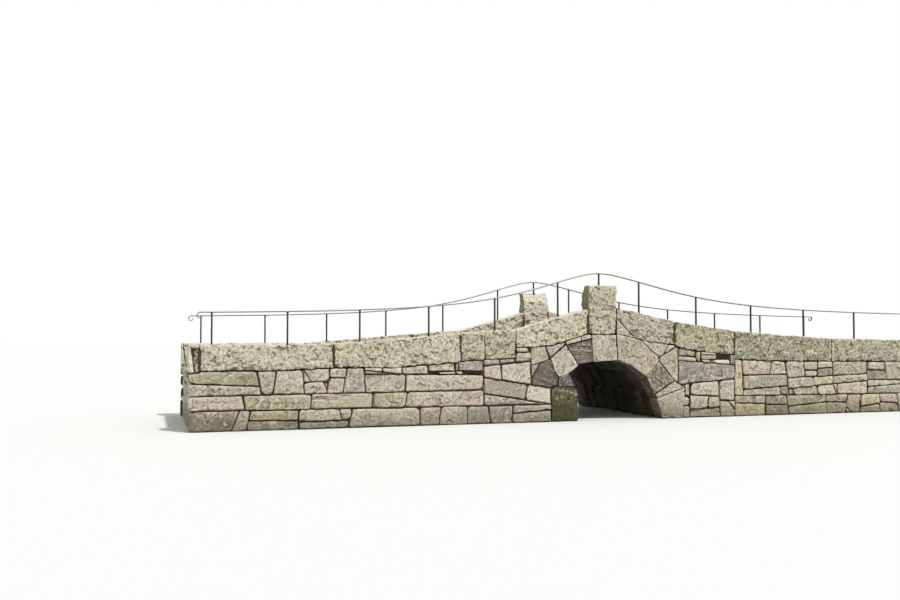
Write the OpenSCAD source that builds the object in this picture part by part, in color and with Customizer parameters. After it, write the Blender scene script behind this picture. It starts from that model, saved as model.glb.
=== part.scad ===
// Small park footbridge of rough granite. One low arch of irregular stones carries a humped path
// between two parapets of long blocks, with a tall pillar at the crown and an iron handrail on each.
// X runs along the bridge and the front faces -Y. Z = 0 is the stream bed, where the walls begin.

/* [Bridge] */
// Length between the two ends of the parapets
bridge_len = 15900; // [14000:100:20000]
// Width over the outer faces of the side walls
bridge_w = 3760; // [2600:20:5000]
// Thickness of a side wall and of the parapet on it
wall_t = 400; // [340:10:520]

/* [Arch] */
// Clear span of the arch at the stream bed
arch_span = 1860; // [1500:20:2200]
// Clear height under the crown of the arch
arch_rise = 1190; // [1000:10:1400]
// Distance of the middle of the arch to the right of the crown pillar
arch_shift = 400; // [300:10:500]
// Thickness of the stones of the vault behind the two rings
vault_t = 360; // [260:10:400]

/* [Parapet] */
// Height from the underside of the arch at its crown to the parapet top beside the pillar
crown_cover = 1080; // [1000:10:1200]
// Height above the stream bed that the parapet runs down to on the left
left_low_h = 1460; // [1300:10:1600]
// Height above the stream bed that the parapet runs down to on the right
right_low_h = 1520; // [1300:10:1700]
// Distance from the crown at which the left parapet is halfway down
left_reach = 1950; // [1500:50:2600]
// Distance from the crown at which the right parapet is halfway down
right_reach = 2200; // [1500:50:2600]
// Open joint between the ends of two parapet blocks
block_joint = 12; // [4:1:25]

/* [Crown pillar] */
// Width of a pillar along the bridge
pillar_w = 610; // [480:10:700]
// Height of a pillar above the parapet beside it
pillar_rise = 410; // [200:10:600]
// Depth of a pillar below the parapet top beside it
pillar_sink = 570; // [520:10:600]
// Width of the slope that falls from the pillar top to the path
pillar_slope_w = 190; // [60:10:260]
// Fall of that slope
pillar_slope_h = 200; // [80:10:300]

/* [Path] */
// Depth of the path surface below the parapet top
path_drop = 450; // [400:10:480]
// Thickness of the gravel of the path
path_t = 120; // [80:10:140]

/* [Handrail] */
// Height of the handrail top above the parapet
rail_h = 600; // [450:10:900]
// Extra height of the handrail over the crown pillar
rail_crown_lift = 70; // [0:5:200]
// Width of the handrail bar across the wall
rail_w = 44; // [30:1:60]
// Thickness of the handrail bar
rail_t = 26; // [16:1:32]
// Radius of the scroll at each end of the handrail
scroll_r = 68; // [48:1:90]
// Side of a square post
post_w = 30; // [20:1:45]
// Distance of the first post from the pillar post
post_first = 900; // [700:10:1000]
// Distance between posts
post_gap = 1330; // [1200:10:1350]
// Length of the handrail past its last post, up to the scroll
rail_overhang = 200; // [120:10:320]

/* [Hidden] */

// Gap left between stones that bear on each other
seat = 0.3;
// Stations along the path and steps along the handrail
path_step = 350;
rail_step = 150;
// Distance from the crown at which the handrail has lost half of its extra height
rail_lift_reach = 600;
// Height of the wedge stone beside the pillar
wedge_h = 320;

half_len = bridge_len / 2;
face_y = -bridge_w / 2;
inner_y = face_y + wall_t;
rail_y = face_y + wall_t / 2;
crown_h = arch_rise + crown_cover;
run_start = pillar_w / 2;
run_len = half_len - run_start;

// Parapet stones from the pillar outwards: share of the run where each one ends, its depth on the
// pillar side, in the middle and on the far side, then how far its top at the far end stands over
// the smooth hump of the path
left_blocks = [
    [0.202, 500, 520, 350, -90],
    [0.286, 535, 550, 545, 0],
    [0.349, 550, 535, 535, 20],
    [0.666, 535, 540, 440, -20],
    [0.975, 440, 480, 470, 20],
    [1.000, 500, 505, 500, 25],
];
right_blocks = [
    [0.175, 540, 545, 490, -25],
    [0.359, 530, 540, 500, 5],
    [0.678, 590, 570, 500, 0],
    [0.975, 500, 495, 480, 10],
    [1.000, 500, 505, 500, 15],
];
// How far the parapet beside the pillar stands over the hump, on the left and on the right
start_over = [-35, 0];

// Height of the hump at a place along the bridge
function low_h(x) = x < 0 ? left_low_h : right_low_h;
function reach(x) = x < 0 ? left_reach : right_reach;
function crest(x) = low_h(x) + (crown_h - low_h(x)) / (1 + pow(x / reach(x), 2));

// Ends of parapet stone k on one side, -1 for the left and 1 for the right, and its top there
function blocks(side) = side < 0 ? left_blocks : right_blocks;
function near_x(side, k) = side * (run_start + (k == 0 ? 0 : blocks(side)[k - 1][0]) * run_len);
function far_x(side, k) = side * (run_start + blocks(side)[k][0] * run_len);
function near_over(side, k) = k == 0 ? start_over[side < 0 ? 0 : 1] : blocks(side)[k - 1][4];
function near_top(side, k) = crest(near_x(side, k)) + near_over(side, k);
function far_top(side, k) = crest(far_x(side, k)) + blocks(side)[k][4];

// Underside of parapet stone k: its pillar side, its middle and its far side
function underside(side, k) =
    let (
        b = blocks(side)[k],
        near = near_x(side, k),
        far = far_x(side, k),
        mid_top = (near_top(side, k) + far_top(side, k)) / 2
    )
    [
        [near, near_top(side, k) - b[1]],
        [(near + far) / 2, mid_top - b[2]],
        [far, far_top(side, k) - b[3]],
    ];

// Top of the parapet, straight from joint to joint
top_line = concat(
    [for (k = [len(left_blocks) - 1:-1:0]) [far_x(-1, k), far_top(-1, k)]],
    [for (side = [-1, 1]) [near_x(side, 0), near_top(side, 0)]],
    [for (k = [0:len(right_blocks) - 1]) [far_x(1, k), far_top(1, k)]]
);
function parapet_top(x) = lookup(x, top_line);

// A point of the arch, in shares of half the span and of the rise
function at(across, up) = [arch_shift + across * arch_span / 2, up * arch_rise];
// A corner of the stones at the crown, above the parapet's underside, where they are trimmed
function above(across) = [at(across, 0).x, crown_h - pillar_sink + 100];

// Inner corners of the front ring, from the left foot round to the right foot
in_foot_l = at(-1, 0);
in_springer_l = at(-1, 0.38);
in_pin_l = at(-1.075, 0.58);
in_notch = at(-1.247, 0.782);
in_haunch_l = at(-1.01, 0.916);
in_key_l = at(-0.65, 0.975);
in_key_r = at(-0.075, 1);
in_big = at(0.247, 0.908);
in_haunch_r = at(0.613, 0.723);
in_pin_r = at(0.806, 0.42);
in_springer_r = at(0.86, 0.353);
in_foot_r = at(1, 0);
// Outer corners of the same ring
out_foot_l = at(-1.624, 0);
out_springer_l = at(-1.624, 0.58);
out_pin_low = at(-1.484, 0.58);
out_pin_high = at(-1.452, 0.731);
out_haunch_low = at(-1.559, 0.84);
out_haunch_mid = at(-1.634, 1.042);
out_haunch_high = at(-1.29, 1.26);
out_layered_mid = at(-0.94, 1.325);
out_layered_high = at(-0.69, 1.37);
out_big_high = at(0.44, 1.36);
out_big = at(0.946, 1.03);
out_haunch_r = at(0.935, 0.975);
out_pin_r = at(1.312, 0.639);
out_springer_r = at(1.57, 0.521);
out_foot_r = at(1.505, 0);

springer_l = [out_foot_l, in_foot_l, in_springer_l, in_pin_l, out_springer_l];
pin_l = [out_pin_low, in_pin_l, in_notch, out_pin_high];
haunch_l = [out_pin_high, in_notch, in_haunch_l, out_haunch_high, out_haunch_mid, out_haunch_low];
layered = [in_haunch_l, in_key_l, out_layered_high, out_layered_mid, out_haunch_high];
cap_wide = [out_haunch_high, out_layered_mid, above(-0.94), above(-1.29)];
cap_narrow = [out_layered_mid, out_layered_high, above(-0.69), above(-0.94)];
keystone = [in_key_l, in_key_r, above(-0.1), above(-0.69), out_layered_high];
big_stone = [
    in_key_r, in_big, in_haunch_r, out_haunch_r, out_big, out_big_high, above(0.44), above(-0.1),
];
haunch_r = [in_haunch_r, in_pin_r, out_pin_r, out_haunch_r];
pin_r = [in_pin_r, in_springer_r, out_springer_r, out_pin_r];
springer_r = [in_springer_r, in_foot_r, out_foot_r, out_springer_r];
opening = [
    in_foot_l, in_springer_l, in_pin_l, in_notch, in_haunch_l, in_key_l,
    in_key_r, in_big, in_haunch_r, in_pin_r, in_springer_r, in_foot_r,
];

// Inner corners of the vault courses, as shares of half the span and of the rise
vault_in = [
    [-1, 0], [-1.02, 0.34], [-1.04, 0.66], [-0.88, 0.92], [-0.5, 1.0],
    [-0.1, 1.03], [0.27, 0.94], [0.6, 0.76], [0.84, 0.42], [1, 0],
];
vault_count = len(vault_in) - 1;
vault_centre = at(0, 0);
fill_left_x = at(-1, 0).x - vault_t;
fill_right_x = at(1, 0).x + vault_t;
function vault_inner(k) = at(vault_in[k][0], vault_in[k][1]);
// The outer face of the lowest course on the left is upright, the others lean with the arch
function vault_outer(k) =
    let (
        from_centre = vault_inner(k) - vault_centre,
        corner = vault_inner(k) + vault_t * from_centre / norm(from_centre)
    )
    k == 1 ? [fill_left_x, corner.y] : corner;
vault_outer_line = [for (k = [0:vault_count]) vault_outer(k)];

// Underside of the gravel along the path
path_stations = concat([for (x = [-half_len:path_step:half_len - 1]) x], [half_len]);
function path_z(x) = crest(x) - path_drop;

rail_end = post_first + 5 * post_gap + rail_overhang;
post_places = concat(
    [for (k = [5:-1:0]) -(post_first + k * post_gap)],
    [0],
    [for (k = [0:5]) post_first + k * post_gap]
);
function rail_top(x) = crest(x) + rail_h + rail_crown_lift / (1 + pow(x / rail_lift_reach, 2));

granite = "#c9bfae";
granite_warm = "#bfb39c";
granite_dark = "#978c84";
rubble = "#b0a593";
gravel = "#b9a88f";
iron = "#23302b";

// Extrudes an outline in X and Z from y0 to y1
module along_y(y0, y1)
    translate([0, y1, 0])
        rotate([90, 0, 0])
            linear_extrude(height = y1 - y0)
                children();

// Draws a piece of the front wall, or its mirror image in the back wall
module on_wall(side)
    mirror([0, side > 0 ? 1 : 0, 0])
        along_y(face_y, inner_y - seat)
            children();

module bearing(outline)
    offset(delta = -seat / 2)
        polygon(outline);

// Outline of one parapet stone
module block_2d(side, k) {
    low = underside(side, k);
    near = low[0].x + side * block_joint / 2;
    far = low[2].x - (k == len(blocks(side)) - 1 ? 0 : side * block_joint / 2);
    intersection() {
        translate([min(near, far), 0])
            square([abs(far - near), crown_h]);
        translate([0, seat])
            polygon([
                low[0], low[1], low[2],
                [low[2].x, parapet_top(low[2].x)],
                [low[0].x, parapet_top(low[0].x)],
            ]);
    }
}

module parapet(side, first, last)
    for (k = [first:last])
        block_2d(side, k);

// Outline of a side wall below its parapet stones
module wall_2d(side, first, last)
    polygon(concat(
        [[near_x(side, first), 0]],
        [for (k = [first:last]) each underside(side, k)],
        [[far_x(side, last), 0]]
    ));

// The part of the wall face that the ring stones at the crown may fill
module below_parapet_2d() {
    wall_2d(-1, 0, 2);
    wall_2d(1, 0, 1);
    translate([-run_start - 1, 0])
        square([pillar_w + 2, crown_h - pillar_sink]);
}

module ring_2d() {
    polygon(opening);
    for (stone = [
        springer_l, pin_l, haunch_l, layered, cap_wide, cap_narrow, keystone, big_stone,
        haunch_r, pin_r, springer_r,
    ])
        polygon(stone);
}

module trimmed(outline)
    intersection() {
        bearing(outline);
        offset(delta = -seat)
            below_parapet_2d();
    }

module spandrel_2d(side, last)
    offset(delta = -seat / 2)
        difference() {
            wall_2d(side, 0, last);
            ring_2d();
        }

// Stone that fills the corner between the pillar and the first block on the right
wedge_low = underside(1, 0);
wedge_heel = wedge_low[0] + [block_joint / 2, seat];
wedge_toe = wedge_low[0] + 0.6 * (wedge_low[1] - wedge_low[0]) + [0, seat];
wedge_tip = wedge_low[0] + [block_joint / 2, wedge_h];

// What the wedge takes out of that block, with some room below and beside it
module wedge_cut_2d()
    offset(delta = seat)
        polygon([
            wedge_tip, wedge_toe, wedge_toe - [0, block_joint],
            wedge_heel - [block_joint, block_joint], wedge_tip - [block_joint, 0],
        ]);

module end_stone(wall, side)
    on_wall(wall)
        block_2d(side, len(blocks(side)) - 1);

module pillar(wall)
    color(granite)
        mirror([0, wall > 0 ? 1 : 0, 0])
            translate([-run_start, 0, crown_h - pillar_sink])
                rotate([90, 0, 90])
                    linear_extrude(height = pillar_w)
                        polygon([
                            [face_y, 0],
                            [inner_y - seat, 0],
                            [inner_y - seat, pillar_sink + pillar_rise - pillar_slope_h],
                            [inner_y - pillar_slope_w, pillar_sink + pillar_rise],
                            [face_y, pillar_sink + pillar_rise],
                        ]);

module pillar_wedge(wall)
    color(granite_warm)
        on_wall(wall)
            bearing([wedge_heel, wedge_toe, wedge_tip]);

module right_sloping_blocks(wall)
    color(granite)
        on_wall(wall) {
            difference() {
                block_2d(1, 0);
                wedge_cut_2d();
            }
            block_2d(1, 1);
        }

module springers(wall)
    color(granite_dark)
        on_wall(wall) {
            bearing(springer_l);
            bearing(springer_r);
        }

module arch_stones(wall)
    color(granite_warm)
        on_wall(wall) {
            bearing(haunch_l);
            bearing(layered);
            trimmed(big_stone);
            bearing(haunch_r);
        }

module pinning_stones(wall)
    color(granite_dark)
        on_wall(wall) {
            bearing(pin_l);
            bearing(pin_r);
            trimmed(cap_wide);
            trimmed(cap_narrow);
        }

// Rail outline: top edge, then the underside back, with a scroll curling down at both ends
scroll_turn = 290;
scroll_steps = 18;
function scroll_outer(share) = scroll_r * (1 - 0.35 * share);
function scroll_inner(share) = scroll_outer(share) - rail_t * (1 - 0.45 * share);
function scroll_point(side, share, radius) = [
    side * (rail_end + radius * sin(scroll_turn * share)),
    rail_top(side * rail_end) - scroll_r + radius * cos(scroll_turn * share),
];
rail_stations = concat([for (x = [-rail_end:rail_step:rail_end - 1]) x], [rail_end]);

module handrail(wall)
    color(iron)
        mirror([0, wall > 0 ? 1 : 0, 0])
            along_y(rail_y - rail_w / 2, rail_y + rail_w / 2)
                polygon(concat(
                    [for (i = [scroll_steps:-1:1])
                        scroll_point(-1, i / scroll_steps, scroll_outer(i / scroll_steps))],
                    [for (x = rail_stations) [x, rail_top(x)]],
                    [for (i = [1:scroll_steps])
                        scroll_point(1, i / scroll_steps, scroll_outer(i / scroll_steps))],
                    [for (i = [scroll_steps:-1:1])
                        scroll_point(1, i / scroll_steps, scroll_inner(i / scroll_steps))],
                    [for (i = [len(rail_stations) - 1:-1:0])
                        [rail_stations[i], rail_top(rail_stations[i]) - rail_t]],
                    [for (i = [1:scroll_steps])
                        scroll_point(-1, i / scroll_steps, scroll_inner(i / scroll_steps))]
                ));

// One post, cut to the slope of the stone it stands on and of the rail it carries
module post_2d(x)
    polygon([
        for (side = [-1, 1])
            let (edge = x + side * post_w / 2)
            [edge, seat + (x == 0 ? crown_h + pillar_rise : parapet_top(edge))],
        for (side = [1, -1])
            let (edge = x + side * post_w / 2)
            [edge, rail_under(edge) - seat],
    ]);
rail_line = [for (x = rail_stations) [x, rail_top(x)]];
function rail_under(x) = lookup(x, rail_line) - rail_t;

module posts(wall)
    color(iron)
        mirror([0, wall > 0 ? 1 : 0, 0])
            along_y(rail_y - post_w / 2, rail_y + post_w / 2)
                for (x = post_places)
                    post_2d(x);

module vault_courses()
    color(granite_dark)
        along_y(inner_y, -inner_y)
            for (k = [0:vault_count - 1])
                bearing([vault_inner(k), vault_inner(k + 1), vault_outer(k + 1), vault_outer(k)]);

// Outline of everything under the gravel between two places along the bridge
module under_path_2d(x0, x1) {
    stations = concat([x0], [for (x = path_stations) if (x > x0 && x < x1) x], [x1]);
    polygon(concat(
        [[x0, 0]],
        [for (x = stations) [x, path_z(x) - path_t - seat]],
        [[x1, 0]]
    ));
}

module approach_fill(x0, x1)
    color(rubble)
        along_y(inner_y, -inner_y)
            under_path_2d(x0, x1);

module haunch_fill(x0, x1)
    color(rubble)
        along_y(inner_y, -inner_y)
            offset(delta = -seat / 2)
                difference() {
                    under_path_2d(x0, x1);
                    polygon(concat(
                        vault_outer_line,
                        [[fill_right_x, 0], [fill_right_x, -1], [fill_left_x, -1], [fill_left_x, 0]]
                    ));
                }

module path_surface()
    color(gravel)
        along_y(inner_y, -inner_y)
            polygon(concat(
                [for (x = path_stations) [x, path_z(x)]],
                [for (i = [len(path_stations) - 1:-1:0])
                    [path_stations[i], path_z(path_stations[i]) - path_t]]
            ));

color(granite) end_stone(-1, -1);  // front_left_end_stone
color(granite) on_wall(-1) parapet(-1, 1, 4);  // front_left_parapet
color(granite) on_wall(-1) block_2d(-1, 0);  // front_left_sloping_block
pillar(-1);  // front_pillar
pillar_wedge(-1);  // front_pillar_wedge
right_sloping_blocks(-1);  // front_right_sloping_blocks
color(granite) on_wall(-1) parapet(1, 2, 3);  // front_right_parapet
color(granite) end_stone(-1, 1);  // front_right_end_stone
springers(-1);  // front_springers
arch_stones(-1);  // front_arch_stones
color(granite_warm) on_wall(-1) trimmed(keystone);  // front_keystone
pinning_stones(-1);  // front_pinning_stones
color(rubble) on_wall(-1) spandrel_2d(-1, 2);  // front_left_spandrel
color(rubble) on_wall(-1) spandrel_2d(1, 1);  // front_right_spandrel
color(rubble) on_wall(-1) wall_2d(-1, 3, 5);  // front_left_wing
color(rubble) on_wall(-1) wall_2d(1, 2, 4);  // front_right_wing
handrail(-1);  // front_handrail
posts(-1);  // front_posts
color(granite) end_stone(1, -1);  // back_left_end_stone
color(granite) on_wall(1) parapet(-1, 1, 4);  // back_left_parapet
color(granite) on_wall(1) block_2d(-1, 0);  // back_left_sloping_block
pillar(1);  // back_pillar
pillar_wedge(1);  // back_pillar_wedge
right_sloping_blocks(1);  // back_right_sloping_blocks
color(granite) on_wall(1) parapet(1, 2, 3);  // back_right_parapet
color(granite) end_stone(1, 1);  // back_right_end_stone
springers(1);  // back_springers
arch_stones(1);  // back_arch_stones
color(granite_warm) on_wall(1) trimmed(keystone);  // back_keystone
pinning_stones(1);  // back_pinning_stones
color(rubble) on_wall(1) spandrel_2d(-1, 2);  // back_left_spandrel
color(rubble) on_wall(1) spandrel_2d(1, 1);  // back_right_spandrel
color(rubble) on_wall(1) wall_2d(-1, 3, 5);  // back_left_wing
color(rubble) on_wall(1) wall_2d(1, 2, 4);  // back_right_wing
handrail(1);  // back_handrail
posts(1);  // back_posts
vault_courses();
haunch_fill(fill_left_x, arch_shift);  // left_haunch_fill
haunch_fill(arch_shift, fill_right_x);  // right_haunch_fill
approach_fill(-half_len, fill_left_x - seat);  // left_approach_fill
approach_fill(fill_right_x + seat, half_len);  // right_approach_fill
path_surface();
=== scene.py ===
"""Dresses the stone footbridge: rock-faced granite, random rubble, gravel path and iron rails with wear and a
painted sheen.
"""

import math
import random

import bmesh
import bpy
import numpy as np
from mathutils import Matrix, Vector, noise
from mathutils.bvhtree import BVHTree


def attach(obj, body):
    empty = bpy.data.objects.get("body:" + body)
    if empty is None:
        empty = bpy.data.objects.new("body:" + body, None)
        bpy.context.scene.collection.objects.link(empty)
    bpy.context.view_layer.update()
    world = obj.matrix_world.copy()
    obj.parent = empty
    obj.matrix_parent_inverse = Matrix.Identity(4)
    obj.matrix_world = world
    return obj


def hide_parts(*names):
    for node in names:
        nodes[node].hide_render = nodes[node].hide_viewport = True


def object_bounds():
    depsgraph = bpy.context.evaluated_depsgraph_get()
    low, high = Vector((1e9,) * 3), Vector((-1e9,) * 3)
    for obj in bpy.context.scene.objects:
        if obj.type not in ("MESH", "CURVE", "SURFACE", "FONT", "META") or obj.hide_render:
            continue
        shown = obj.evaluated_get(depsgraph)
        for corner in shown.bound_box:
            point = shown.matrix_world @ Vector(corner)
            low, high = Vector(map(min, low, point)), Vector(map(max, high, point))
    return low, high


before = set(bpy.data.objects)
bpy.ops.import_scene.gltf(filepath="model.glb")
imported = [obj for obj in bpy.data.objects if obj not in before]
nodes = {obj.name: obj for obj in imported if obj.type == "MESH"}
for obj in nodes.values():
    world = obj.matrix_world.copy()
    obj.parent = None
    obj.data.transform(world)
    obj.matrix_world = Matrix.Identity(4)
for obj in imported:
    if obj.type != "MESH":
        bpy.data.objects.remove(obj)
cad_box = [list(corner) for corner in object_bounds()]

# Sizes, in metres

FACE_Y = 1.88  # outer face of either side wall, from the middle of the path
INNER_Y = 1.48  # its inner face
END_X = cad_box[1][0]  # either end of the bridge
TOP_Z = cad_box[1][2]  # top of the rails
HEARTING_IN = (0.075, 0.115)  # how near and how far behind a wall's face its hearting lies
STONE_IN = 0.11  # how far behind that face the rubble stones reach
CORNER_IN = 0.125  # how far round the corner the end face's rubble stops
PROUD = 0.155  # how far the back ring's right side stands into the passage: no light shows past it
COARSE = 1.0

# A finish says how a stone's surface is broken. step: distance between the surface's points.
# draw_back: how far it keeps from its joints. swell: how far its outer face stands out in the
# middle. tilt: how far that face leans. sag: how far its top dips. wave, chip, flake, grit:
# depth of the broken surface, from the widest forms to the finest. ledge: depth of the layers.
# lean: how steeply they fall to the right, if they do.
ROCK_FACED = dict(
    step=0.015, draw_back=0.009, swell=0.016, tilt=0.004, sag=0.014,
    wave=0.026, chip=0.036, flake=0.020, grit=0.010, ledge=0.0,
)
DRESSED = dict(
    step=0.016, draw_back=0.008, swell=0.008, tilt=0.008, sag=0.0,
    wave=0.010, chip=0.018, flake=0.009, grit=0.005, ledge=0.0,
)
LAYERED = dict(DRESSED, step=0.013, ledge=0.034)
WATERWORN = dict(DRESSED, swell=0.03, wave=0.04, chip=0.04)
PINNING = dict(DRESSED, step=0.010, draw_back=0.003, wave=0.004, chip=0.006, flake=0.003)
RUBBLE = dict(
    step=0.019, draw_back=0.003, swell=0.010, tilt=0.014, sag=0.0,
    wave=0.014, chip=0.026, flake=0.010, grit=0.006, ledge=0.0,
)
CALM_RUBBLE = dict(RUBBLE, tilt=0.006, chip=0.014)
STRATIFIED = dict(RUBBLE, step=0.016, ledge=0.020)
CALM_STRATIFIED = dict(STRATIFIED, lean=0.45, step=0.013, tilt=0.006, wave=0.008, chip=0.014)
VAULT = dict(
    step=0.045, draw_back=0.006, swell=0.010, tilt=0.010, sag=0.0,
    wave=0.016, chip=0.020, flake=0.0, grit=0.006, ledge=0.0,
)
DEPTHS = ("wave", "chip", "flake", "grit", "ledge")

WAVES_PER_M = 2.2
CHIPS_PER_M = 6.5
FLAKES_PER_M = 15.0
GRIT_PER_M = 22.0
LAYERS_PER_M = 16.0
SAGS_PER_M = 1.1
OPEN_BACK = 0.10  # how far open surfaces lie back, as a share of the surface's depth
OUTER_BACK = 0.15  # how far an outer face does
SHOULDER = 0.004  # how gently a surface stops at its stone's true outline
BRIM = 0.12  # how far in from an outer face a stone is drawn back with it
ROUNDED = 0.6  # how strongly the brims of joints are smoothed, twice over
BURIED = 0.03  # how much of a rubble stone's back, inside the wall, stays unbroken
DEEPEST = 0.045  # how far a rubble stone's face may go back: the hearting lies deeper
JOINT_REACH = 0.02  # how near the next stone is at a joint
RIDGE_GAIN = 1.25  # how strongly a ridge shows in the colour as a painted highlight, and a hollow as dirt and painted shade
APART = [Vector((9.3, -1.5, -7.9)), Vector((0, 0, 0)), Vector((6.3, 0.2, -2.7))]  # for unlike noises
THINNED = 0.46  # share of a broken surface's triangles that is kept, the most where it bends

# Joints that are closed or wide open, in X and Z: where, over what distance, and how far the stone
# on either side stays back from it
MEASURED_JOINTS = [
    ((-0.29, 1.30), 0.36, 0.0),
    ((-1.08, 0.98), 0.30, 0.0),
    ((-0.88, 0.90), 0.16, 0.0),
    ((1.07, 1.02), 0.30, 0.0),
    ((1.44, 0.98), 0.26, 0.020),
    ((1.34, 1.22), 0.20, 0.012),
    ((-0.35, 1.84), 0.30, 0.022),
    ((1.60, 1.72), 0.26, 0.020),
    ((-5.41, 1.25), 0.30, 0.022),
]


# Colours

def colour(red, green, blue):
    """A colour picked in display values from 0 to 255, as the shader's linear values."""
    linear = [
        value / 12.92 if value <= 0.04045 else ((value + 0.055) / 1.055) ** 2.4
        for value in (red / 255, green / 255, blue / 255)
    ]
    return (*linear, 1.0)


# A paler, cleaner stone that also holds painted light
BLEACHED = colour(240, 234, 218)
WHITE = colour(212, 207, 190)
PALE = colour(194, 187, 168)
BEIGE = colour(188, 178, 155)
GREY = colour(172, 166, 152)
PINK = colour(192, 178, 160)
YELLOW = colour(202, 189, 156)
GREEN = colour(170, 168, 138)
OLIVE = colour(126, 118, 94)
BROWN = colour(146, 134, 116)
DARK = colour(94, 89, 88)
# Damp stone of the vault, painted near-black as shade
SOOTY = colour(42, 38, 33)

RUBBLE_TINTS = [PALE, PALE, BEIGE, BEIGE, BEIGE, GREY, GREY, GREY, PINK, PINK, PINK, YELLOW, GREEN, BROWN]


# Solids

def welded(mesh):
    """A mesh as a bmesh, with the points that meet joined."""
    solid = bmesh.new()
    solid.from_mesh(mesh)
    bmesh.ops.remove_doubles(solid, verts=solid.verts, dist=1e-5)
    return solid


def loose_parts(mesh):
    """The separate solids of a mesh, each as a bmesh, from left to right."""
    whole = welded(mesh)
    owner = [None] * len(whole.verts)
    count = 0
    whole.verts.ensure_lookup_table()
    for seed in whole.verts:
        if owner[seed.index] is not None:
            continue
        reached = [seed]
        while reached:
            vert = reached.pop()
            if owner[vert.index] is None:
                owner[vert.index] = count
                reached += [edge.other_vert(vert) for edge in vert.link_edges]
        count += 1
    parts = []
    for part in range(count):
        solid = whole.copy()
        solid.verts.ensure_lookup_table()
        spare = [v for v in solid.verts if owner[v.index] != part]
        bmesh.ops.delete(solid, geom=spare, context="VERTS")
        parts.append(solid)
    whole.free()
    return sorted(parts, key=lambda solid: middle_of(solid).x)


def reach_of(shape, axis):
    """Lowest and highest place of a solid or a face along an axis."""
    values = [v.co[axis] for v in shape.verts]
    return min(values), max(values)


def middle_of(shape):
    return Vector([sum(reach_of(shape, axis)) / 2 for axis in range(3)])


def along_axis(axis, length=1.0):
    vector = Vector((0, 0, 0))
    vector[axis] = length
    return vector


def split(solid, point, normal, geom=None, near=1e-5, clear_outer=False):
    """Splits the faces of a solid along a plane, or only those given, and may clear what is ahead."""
    bmesh.ops.bisect_plane(
        solid, geom=geom or [*solid.verts, *solid.edges, *solid.faces], dist=near,
        plane_co=point, plane_no=normal, clear_outer=clear_outer,
    )


def trim(solid, point, normal):
    """Takes away what lies ahead of a plane, and closes the solid there."""
    split(solid, point, normal, clear_outer=True)
    bmesh.ops.holes_fill(solid, edges=[e for e in solid.edges if e.is_boundary], sides=0)
    bmesh.ops.recalc_face_normals(solid, faces=solid.faces)


def halves(solid, point, normal):
    """The two pieces of a solid behind and ahead of a plane."""
    ahead = solid.copy()
    trim(solid, point, normal)
    trim(ahead, point, -normal)
    return solid, ahead


def bevel(solid, edges, width, segments=1):
    bmesh.ops.bevel(
        solid, geom=edges, offset=width, offset_type="OFFSET", segments=segments, profile=0.5,
        affect="EDGES", material=-1, clamp_overlap=True,
    )


def mesh_of(name, solid):
    """The bmesh as a mesh, with the bmesh given back."""
    mesh = bpy.data.meshes.new(name)
    solid.to_mesh(mesh)
    solid.free()
    return mesh


def gather(whole, mesh):
    """Adds a mesh to a bmesh and gives the mesh back."""
    whole.from_mesh(mesh)
    bpy.data.meshes.remove(mesh)


def in_scene(name, data):
    """A new object of the scene."""
    made = bpy.data.objects.new(name, data)
    bpy.context.scene.collection.objects.link(made)
    return made


def modified(mesh, kind, **settings):
    """A mesh as one modifier makes it. The mesh given is used up."""
    holder = in_scene("holder", mesh)
    modifier = holder.modifiers.new(kind, kind)
    for key, value in settings.items():
        setattr(modifier, key, value)
    made = holder.evaluated_get(bpy.context.evaluated_depsgraph_get())
    result = bpy.data.meshes.new_from_object(made)
    bpy.data.objects.remove(holder)
    bpy.data.meshes.remove(mesh)
    return result


def even_mesh(solid, step):
    """The solid with its surface as an even net of small faces, so that it can be broken up."""
    fine = bmesh.new()
    gather(fine, modified(mesh_of("even", solid), "REMESH", mode="VOXEL", voxel_size=step * COARSE))
    return fine


# Broken stone

def rows(collection, name, width=3):
    """A mesh's numbers as the rows of an array."""
    values = np.empty(len(collection) * width)
    collection.foreach_get(name, values)
    return values.reshape(-1, width)


def put_points(mesh, co):
    """Moves a mesh's points, but none past the bridge's outer faces."""
    np.clip(co, (-END_X, -FACE_Y, 0), (END_X, FACE_Y, TOP_Z), out=co)
    mesh.vertices.foreach_set("co", co.ravel())
    mesh.update()


def neighbours(mesh):
    """A way to average each vertex's value with those of the vertices round it."""
    ends = np.empty(len(mesh.edges) * 2, dtype=np.int64)
    mesh.edges.foreach_get("vertices", ends)
    start, stop = ends.reshape(-1, 2).T
    count = len(mesh.vertices)
    links = np.maximum(np.bincount(ends, minlength=count), 1)

    def around(values):
        if values.ndim > 1:
            return np.stack([around(column) for column in values.T], 1)
        return (np.bincount(start, values[stop], count) + np.bincount(stop, values[start], count)) / links

    return around


def next_stones(own, siblings):
    """All the CAD stones round one, to look up where it faces a joint: those of the other nodes
    than its own, and its siblings in that node."""
    others = bmesh.new()
    for name, node in nodes.items():
        if name != own and "rail" not in name and "posts" not in name:
            others.from_mesh(node.data)
    for solid in siblings:
        gather(others, mesh_of("sibling", solid.copy()))
    tree = BVHTree.FromBMesh(others)
    others.free()
    return tree


def in_joints(co, normals, tree):
    """For each point of a stone, 1 where another stone is close before it and 0 where it is open."""
    shut = np.zeros(len(co))
    for i, (point, normal) in enumerate(zip(co, normals)):
        before = Vector(point) + Vector(normal) * JOINT_REACH
        nearest, facing, _, _ = tree.find_nearest(before, 2 * JOINT_REACH)
        if nearest and (before - nearest).dot(facing) < 0:
            shut[i] = 1.0
    return shut


def measured_joints(co):
    """For each point of a stone, how far it belongs to a measured joint and stays back there."""
    share, back = np.zeros(len(co)), np.zeros(len(co))
    for (x, z), reach, width in MEASURED_JOINTS:
        near = np.clip(2 - 2 * np.hypot(co[:, 0] - x, co[:, 2] - z) / reach, 0, 1)
        back[near > share] = width
        share = np.maximum(near, share)
    return share, back


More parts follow.
